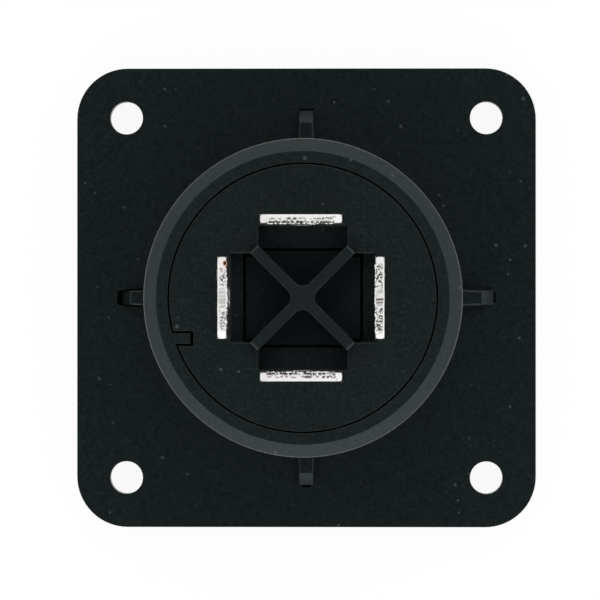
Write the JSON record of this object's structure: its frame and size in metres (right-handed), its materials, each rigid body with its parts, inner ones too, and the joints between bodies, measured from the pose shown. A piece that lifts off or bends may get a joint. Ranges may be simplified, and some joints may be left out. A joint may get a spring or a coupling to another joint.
{
  "type": "speaker connector",
  "caption": "Panel speaker connector with a square flange, a round barrel, a twist-lock socket in front and flat push-on tabs at the rear.",
  "frame": {"origin": "centre of the flange's front face, on which the connector rests", "axes": "+Z along the socket's axis to the rear, where the tabs stand; +Y towards the connector's top, at the wide keyway; +X to the right as seen from the rear, at the latch notch"},
  "size_m": [0.038, 0.038, 0.0275],
  "materials": {
    "housing_plastic": "black moulded plastic with a fine spark-eroded texture",
    "carrier_plastic": "black moulded plastic, satin",
    "contact_metal": "brass strip with a bright tin plate, sheared ends"
  },
  "bodies": {
    "root": {"housing": "housing_plastic", "contact_carrier": "carrier_plastic", "tab_divider": "carrier_plastic", "contact_right": "contact_metal", "contact_top": "contact_metal", "contact_left": "contact_metal", "contact_bottom": "contact_metal"}
  },
  "joints": []
}
